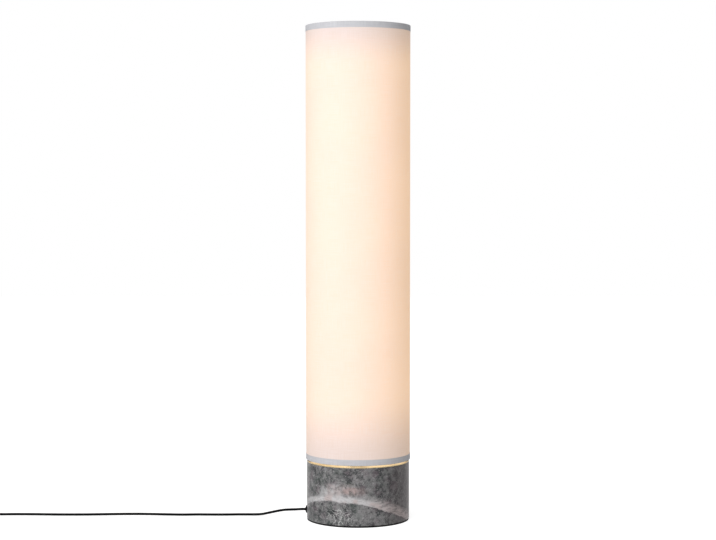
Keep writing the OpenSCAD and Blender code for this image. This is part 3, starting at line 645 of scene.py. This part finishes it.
# Column that carries the light: an aluminium extrusion on a turned foot, clamped by the stem
# under a turned cap. A strip of small light sources slides into the channel of each side.
drawn_grain = (900, 900, 12)
turned_grain = (120, 120, 1500)
anodised = metal("anodised", (0.40, 0.41, 0.42), roughness=0.4, grain=drawn_grain,
                 depth=0.000004, marks=0.12)
polished_alloy = metal("polished_alloy", (0.82, 0.81, 0.79), roughness=0.3, grain=turned_grain,
                       depth=0.000004, marks=0.08)
turned_alloy = metal("turned_alloy", (0.60, 0.60, 0.60), roughness=0.33, grain=turned_grain,
                     depth=0.000004)
coat(anodised, "light_column")
coat(polished_alloy, "column_foot")
coat(turned_alloy, "top_cap")
board_white = (0.80, 0.80, 0.77, 1)
track_grey = (0.72, 0.72, 0.68, 1)
chip_yellow = (0.95, 0.80, 0.35, 1)
chip_light = (1.0, 0.82, 0.55, 1)
unlit = (0, 0, 0, 1)
chip_reach = 0.01595
chip_glow = 2.5


def light_strip():
    """White board whose chips glow: they stand further from the axis than the board does."""
    material, tree, skin, at = new_material("light_strip")
    parts = shader_node(tree, "SeparateXYZ", {0: vector_of(tree, "ABSOLUTE", {0: at})})
    reach = sum_of(tree, "MAXIMUM", parts.outputs["X"], parts.outputs["Y"])
    chip = sum_of(tree, "GREATER_THAN", reach, chip_reach)
    tracks = spread_of(tree, noise_of(tree, stretched(tree, at, (600, 600, 30)), 1.0, 2.0), 0.45, 0.6)
    board = blend_of(tree, tracks, board_white, track_grey)
    tree.links.new(blend_of(tree, chip, board, chip_yellow), skin.inputs["Base Color"])
    tree.links.new(blend_of(tree, chip, unlit, chip_light), skin.inputs["Emission Color"])
    skin.inputs["Emission Strength"].default_value = chip_glow
    skin.inputs["Roughness"].default_value = 0.35
    return material


coat(light_strip(), "led_strips")

# Cloth of the shade: one sheet of off-white plain-woven linen, laid round the stiff liner and
# lapped over itself up the back. The light inside shows through it as a painted glow, less so
# towards both ends.
fabric_low, fabric_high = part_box("shade_fabric")
cloth_r = fabric_high.x
cloth_t = 0.00055
lap_w = 0.012
lap_rise = 0.0006
lap_ease = 0.004
cloth_h = fabric_high.z - fabric_low.z
cloth_w = 2 * math.pi * cloth_r + lap_w
steps_round = 264
steps_up = 12


def lap_lift(from_back):
    """How far the cloth stands off at a distance along it from the middle of the lap."""
    ease = (lap_w / 2 + lap_ease - abs(from_back)) / lap_ease
    ease = min(1, max(0, ease))
    return lap_rise * ease * ease * (3 - 2 * ease)


pick_none()
bpy.ops.mesh.primitive_grid_add(x_subdivisions=steps_round, y_subdivisions=steps_up, size=1)
shade_cloth = bpy.context.object
shade_cloth.name = "shade_cloth"
for vertex in shade_cloth.data.vertices:
    along = (vertex.co.x + 0.5) * cloth_w
    up = fabric_low.z + (vertex.co.y + 0.5) * cloth_h
    angle = math.pi / 2 + (along - lap_w / 2) / cloth_r
    lift = lap_lift(cloth_w - lap_w / 2 - along) if along > cloth_w / 2 else 0.0
    vertex.co = ((cloth_r + lift) * math.cos(angle), (cloth_r + lift) * math.sin(angle), up)
apply_modifier(shade_cloth, "SOLIDIFY", thickness=cloth_t, offset=-1)
bpy.ops.object.shade_smooth_by_angle(angle=math.radians(40))

thread = 0.00062
slub = 0.5
weave_depth = 0.00012
slub_tone_and_gap_shade_share = 0.88
linen = (0.585, 0.57, 0.63)
painted_glow_middle = (0.612, 0.367, 0.160)
painted_glow_end = (0.36, 0.227, 0.118)
low_reach = 0.17
high_reach = 0.11
lap_glow = 0.86
lap_edge = 0.001


def plain_weave_group():
    """Plain weave: warp and weft threads that pass over and under, with thick and thin places."""
    group, given, out = new_group(
        "plain_weave",
        [("Vector", "Vector", None), ("Thread", "Float", 0.0006), ("Slub", "Float", 0.5)],
        [("Height", "Float"), ("Tone", "Float"), ("Gap", "Float")])
    at = given.outputs["Vector"]
    parts = shader_node(group, "SeparateXYZ", {0: at})
    warp = sum_of(group, "DIVIDE", parts.outputs["X"], given.outputs["Thread"])
    weft = sum_of(group, "DIVIDE", parts.outputs["Y"], given.outputs["Thread"])

    def threads(across, along, phase):
        """Threads side by side across, each up and down along itself."""
        back = sum_of(group, "ABSOLUTE", sum_of(group, "SINE", product_of(group, across, math.pi)))
        count = sum_of(group, "FLOOR", across)
        turn = product_of(group, sum_of(group, "ADD", along, count), math.pi)
        over = sum_of(group, "SINE", sum_of(group, "ADD", turn, phase))
        return product_of(group, back, sum_of(group, "MULTIPLY_ADD", over, 0.4, 0.6))

    relief = sum_of(group, "MAXIMUM", threads(warp, weft, 0.0), threads(weft, warp, math.pi))
    thick_up = noise_of(group, stretched(group, at, (900, 28, 1)), 1.0, 2.0)
    thick_across = noise_of(group, stretched(group, at, (22, 900, 1)), 1.0, 2.0)
    uneven = spread_of(group, sum_of(group, "ADD", thick_up, thick_across), 0.7, 1.3, -1.0, 1.0)
    tone = product_of(group, uneven, given.outputs["Slub"])
    height = sum_of(group, "ADD", relief, product_of(group, tone, 0.3))
    group.links.new(height, out.inputs["Height"])
    group.links.new(tone, out.inputs["Tone"])
    # Mask of the gaps between the threads, which the cloth darkens as painted shade.
    group.links.new(spread_of(group, relief, 0.45, 0.1), out.inputs["Gap"])
    return group


plain_weave = plain_weave_group()


def glow_along(tree, at, low, high):
    """Part of the full light at each height, from 0 at the two ends to 1 further in."""
    height = shader_node(tree, "SeparateXYZ", {0: at}).outputs["Z"]
    from_low = spread_of(tree, height, low, low + low_reach)
    from_high = spread_of(tree, height, high, high - high_reach)
    return sum_of(tree, "MINIMUM", from_low, from_high)


def give_light(tree, skin, colour, share, strength):
    """Paints a glow on a surface: it gives off a colour, more or less of it from place to place."""
    shine = vector_of(tree, "SCALE", {0: colour, 3: share})
    tree.links.new(shine, skin.inputs["Emission Color"])
    skin.inputs["Emission Strength"].default_value = strength


def light_through(tree, skin, at, chart, tone, middle, end):
    """Painted glow for the lamp's light seen through the cloth, in one colour in the middle and one
    at the ends. The lap holds back more of it, since it is two layers thick."""
    cloudy = spread_of(tree, noise_of(tree, at, 7.0, 2.0), 0.3, 0.7, 0.97, 1.03)
    thin = spread_of(tree, tone, -0.5, 0.5, 1.05, 0.95)
    strip = shader_node(tree, "SeparateXYZ", {0: chart}).outputs["X"]
    lap_from = 1 - lap_w / cloth_w
    doubled = spread_of(tree, strip, lap_from, lap_from + lap_edge, 1.0, lap_glow)
    along = glow_along(tree, at, fabric_low.z, fabric_high.z)
    through = blend_of(tree, along, (*end, 1), (*middle, 1))
    give_light(tree, skin, through, product_of(tree, cloudy, thin, doubled), 1.0)


def woven(name, colour, size, lit=None):
    """Cloth on its own UV map, of that size in metres. Lit cloth is given a painted glow in two
    colours, in the middle and at the ends."""
    material, tree, skin, at = new_material(name)
    chart = shader_node(tree, "UVMap").outputs["UV"]
    flat = stretched(tree, chart, (*size, 1))
    weave = use_group(tree, plain_weave, {"Vector": flat, "Thread": thread, "Slub": slub})
    tone = weave.outputs["Tone"]
    # Darker colour for the threads' thin places, and painted shade for the gaps between threads.
    slub_tone_and_gap_shade = tuple(slub_tone_and_gap_shade_share * tint for tint in colour)
    body = blend_of(tree, spread_of(tree, tone, -0.5, 0.5), (*slub_tone_and_gap_shade, 1), (*colour, 1))
    # Painted shade: the gaps between the threads are darkened a little.
    body = blend_of(tree, product_of(tree, weave.outputs["Gap"], 0.25), body, (*slub_tone_and_gap_shade, 1))
    tree.links.new(body, skin.inputs["Base Color"])
    skin.inputs["Roughness"].default_value = 0.9
    skin.inputs["Specular IOR Level"].default_value = 0.25
    skin.inputs["Sheen Weight"].default_value = 0.1
    bump_into(tree, skin, weave.outputs["Height"], weave_depth)
    if lit:
        light_through(tree, skin, at, chart, tone, *lit)
    return material


cloth_linen = woven("cloth_linen", linen, (cloth_w, cloth_h), (painted_glow_middle, painted_glow_end))
dress(shade_cloth, cloth_linen, "shade")
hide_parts("shade_fabric")

# Liner behind the cloth: a stiff, milky plastic sheet that the cloth is laminated on and that
# spreads the light. It is given a painted glow all over inside, brightest at its foot, where it
# stands for light that the brass throws back.
milk_thin = (0.66, 0.66, 0.65, 1)
milk_thick = (0.70, 0.70, 0.69, 1)
liner_painted_glow = (0.66, 0.53, 0.37, 1)
liner_painted_glow_end = (0.46, 0.37, 0.255, 1)
liner_painted_glow_foot = (1.2, 1.06, 0.84, 1)
foot_reach = 0.11
inner_strength = 0.65


def milky_liner():
    """Milky plastic with a painted glow inside, brightest at its foot: painted light that the brass
    throws back.
    """
    material, tree, skin, at = new_material("milky_liner")
    cloudy = spread_of(tree, noise_of(tree, at, 12.0, 3.0), 0.3, 0.7)
    tree.links.new(blend_of(tree, cloudy, milk_thin, milk_thick), skin.inputs["Base Color"])
    skin.inputs["Roughness"].default_value = 0.45
    bump_into(tree, skin, noise_of(tree, at, 900.0, 2.0), 0.00001)
    along = glow_along(tree, at, fabric_low.z, fabric_high.z)
    through = blend_of(tree, along, liner_painted_glow_end, liner_painted_glow)
    height = shader_node(tree, "SeparateXYZ", {0: at}).outputs["Z"]
    near_foot = spread_of(tree, height, fabric_low.z + foot_reach, fabric_low.z + foot_reach / 2)
    through = blend_of(tree, near_foot, through, liner_painted_glow_foot)
    give_light(tree, skin, through, spread_of(tree, cloudy, 0.0, 1.0, 0.97, 1.02), inner_strength)
    return material


coat(milky_liner(), "shade_liner")

# Hems: a strip of the same linen, doubled, folded over the rim and round the frame's ring, and
# glued down inside. Two layers over the liner's edge hold the light back, so they look cool grey.
top_hem_low, top_hem_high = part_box("hem_top")
lower_hem_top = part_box("hem_bottom")[1].z
hem_r = top_hem_high.x
hem_h = top_hem_high.z - top_hem_low.z
hem_t = 0.0005
hem_tuck = 0.012
ring_wire_d = 0.0045
ring_gap = 0.0001
hem_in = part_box("shade_frame_top")[1].x - ring_wire_d - ring_gap
fold_r = 0.0011
fold_angles = (0, 30, 60, 90)
leg_parts = (0, 0.12, 0.4, 0.7)
tuck_parts = (0.4, 0.7, 1)
arm_angles = (90, 210, 330)
arm_gap = 0.0032
hem_steps = 240
hem_linen = (0.65, 0.65, 0.68)


def hem_section(foot_z, up):
    """Half section of a hem, as radius and height, from the foot of its outer leg, over the fold
    and down its inner leg. Up is 1 for the hem at the top and -1 for the one below."""
    outer = hem_r - hem_t / 2
    inner = hem_in - hem_t / 2
    top = hem_h - hem_t / 2
    arc = [math.radians(angle) for angle in fold_angles]
    points = [(outer, hem_h * part) for part in leg_parts]
    points += [(outer - fold_r * (1 - math.cos(a)), top - fold_r * (1 - math.sin(a))) for a in arc]
    points += [(inner + fold_r * (1 - math.sin(a)), top - fold_r * (1 - math.cos(a))) for a in arc]
    points += [(inner, hem_h - hem_tuck * part) for part in tuck_parts]
    return [(reach, foot_z + up * height) for reach, height in points]


def spun(name, section):
    """Piece whose section is turned once round the lamp's axis."""
    line = bpy.data.meshes.new(name)
    joins = [(i, i + 1) for i in range(len(section) - 1)]
    line.from_pydata([(0, reach, height) for reach, height in section], joins, [])
    piece = bpy.data.objects.new(name, line)
    scene.collection.objects.link(piece)
    apply_modifier(piece, "SCREW", angle=math.radians(360), steps=hem_steps, render_steps=hem_steps)
    return piece


def passed_by_arm(face):
    """True for a face of the inner leg where an arm of the frame passes."""
    middle = face.calc_center_median()
    if middle.xy.length > hem_in + hem_t or abs(face.normal.z) > 0.5:
        return False
    angle = math.degrees(math.atan2(middle.y, middle.x)) % 360
    return any(math.radians(abs(angle - arm)) * hem_in < arm_gap for arm in arm_angles)


def notch(work):
    """Opens the inner leg for the frame's arms, and turns the faces that are left outwards."""
    for face in [face for face in work.faces if passed_by_arm(face)]:
        work.faces.remove(face)
    loose = [vertex for vertex in work.verts if not vertex.link_faces]
    bmesh.ops.delete(work, geom=loose, context="VERTS")
    bmesh.ops.recalc_face_normals(work, faces=work.faces)
    outside = max(work.faces, key=lambda face: face.calc_center_median().xy.length)
    middle = outside.calc_center_median()
    if outside.normal.dot(Vector((middle.x, middle.y, 0))) < 0:
        bmesh.ops.reverse_faces(work, faces=work.faces)


def chart_of(work, section):
    """Lays the UV map, round the lamp in U and along the section in V. Gives the section's length."""
    lengths = [0.0]
    for (reach, height), (next_reach, next_height) in zip(section, section[1:]):
        lengths.append(lengths[-1] + math.hypot(next_reach - reach, next_height - height))
    chart = work.loops.layers.uv.new("UVMap")
    for face in work.faces:
        turns = [math.atan2(loop.vert.co.y, loop.vert.co.x) % math.tau for loop in face.loops]
        wraps = max(turns) - min(turns) > math.pi
        for loop, turn in zip(face.loops, turns):
            if wraps and turn < math.pi:
                turn += math.tau
            reach, height = loop.vert.co.xy.length, loop.vert.co.z
            nearest = min(zip(section, lengths), key=lambda knot: math.hypot(
                knot[0][0] - reach, knot[0][1] - height))
            loop[chart].uv = (turn / math.tau, nearest[1] / lengths[-1])
    return lengths[-1]


def ease_over_lap(work):
    """Moves the outer leg out where the cloth under it is lapped."""
    for vertex in work.verts:
        reach = vertex.co.xy.length
        if reach > hem_r - 3 * hem_t:
            from_back = (math.atan2(vertex.co.y, vertex.co.x) - math.pi / 2) * hem_r
            wider = 1 + lap_lift(from_back) / reach
            vertex.co = (vertex.co.x * wider, vertex.co.y * wider, vertex.co.z)


def make_hem(name, node, foot_z, up):
    """Turns the section round the lamp, notches and charts it, eases it over the lap and thickens it."""
    section = hem_section(foot_z, up)
    hem = spun(name, section)
    work = bmesh.new()
    work.from_mesh(hem.data)
    notch(work)
    length = chart_of(work, section)
    ease_over_lap(work)
    work.to_mesh(hem.data)
    work.free()
    apply_modifier(hem, "SOLIDIFY", thickness=hem_t, offset=0)
    bpy.ops.object.shade_smooth_by_angle(angle=math.radians(50))
    cloth = woven(name + "_linen", hem_linen, (2 * math.pi * hem_r, length))
    dress(hem, cloth, "shade")
    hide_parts(node)
    return hem


top_hem = make_hem("top_hem", "hem_top", top_hem_low.z, 1)
lower_hem = make_hem("lower_hem", "hem_bottom", lower_hem_top, -1)

# Frames of the shade: wire rings with three arms to a hub, welded and powder coated white. The
# upper hub sits on the column's cap under the finial, and the lower one centres the shade.
coat_white = moulded("coat_white", (0.76, 0.76, 0.75), roughness=0.38, grain=700.0,
                     depth=0.00004, dust=0.05)
coat(coat_white, "shade_frame_top", "shade_frame_bottom")

# Finial: a turned brass nut with a fluted rim and a rounded crown. It is screwed on over the upper
# hub, and holds the shade down on the column's cap.
finial_brass = metal("finial_brass", (0.84, 0.65, 0.34), roughness=0.24, grain=(60, 60, 1800),
                     depth=0.000005, tarnish=(0.85, 0.8, 0.7))
coat(finial_brass, "finial")

# Studio: a wide pale floor under an even white surround, with one large soft lamp to the left of
# the camera. The camera sees floor and surround as white; the floor keeps the lamp's shadow and is
# clear from below, so that it doesn't hide the underside.
floor_half = 9.0
floor_gap = 0.0002
floor_white = (0.80, 0.80, 0.80, 1)
floor_lift = 0.76
surround = 0.37
key_size = 2.6
key_power = 112.0
key_place = (-1.95, -3.45, 1.75)
key_aim = (0, 0, 0.55)


def seen_straight(tree):
    """1 for rays that see the background, straight or in metal or glass, and 0 for the others."""
    path = shader_node(tree, "LightPath")
    seen = sum_of(tree, "MAXIMUM", path.outputs["Is Camera Ray"], path.outputs["Is Glossy Ray"])
    return sum_of(tree, "MAXIMUM", seen, path.outputs["Is Transmission Ray"])


pick_none()
bpy.ops.mesh.primitive_plane_add(size=2 * floor_half, location=(0, 0, -floor_gap))
studio_floor = bpy.context.object
studio_floor.name = "studio_floor"
floor_paint = bpy.data.materials.new("floor_paint")
floor_paint.use_nodes = True
tree = floor_paint.node_tree
tree.nodes.clear()
matt = shader_node(tree, "BsdfDiffuse", {"Color": floor_white})
lift = shader_node(tree, "Emission", {"Strength": product_of(tree, seen_straight(tree), floor_lift)})
both = shader_node(tree, "AddShader", {0: matt.outputs[0], 1: lift.outputs[0]})
below = shader_node(tree, "NewGeometry").outputs["Backfacing"]
clear = shader_node(tree, "BsdfTransparent")
floor_skin = shader_node(tree, "MixShader", {0: below, 1: both.outputs[0], 2: clear.outputs[0]})
tree.links.new(floor_skin.outputs[0], shader_node(tree, "OutputMaterial").inputs["Surface"])
studio_floor.data.materials.append(floor_paint)

world = bpy.data.worlds.new("surround")
world.use_nodes = True
scene.world = world
tree = world.node_tree
tree.nodes.clear()
level = spread_of(tree, seen_straight(tree), 0.0, 1.0, surround, 1.0, soft=False)
sky = shader_node(tree, "Background", {"Color": (1, 1, 1, 1), "Strength": level})
tree.links.new(sky.outputs[0], shader_node(tree, "OutputWorld").inputs["Surface"])

key = bpy.data.lights.new("key", "AREA")
key.shape = "SQUARE"
key.size = key_size
key.energy = key_power
key_lamp = bpy.data.objects.new("key", key)
key_lamp.location = key_place
key_lamp.rotation_euler = (Vector(key_aim) - Vector(key_place)).to_track_quat("-Z", "Y").to_euler()
scene.collection.objects.link(key_lamp)
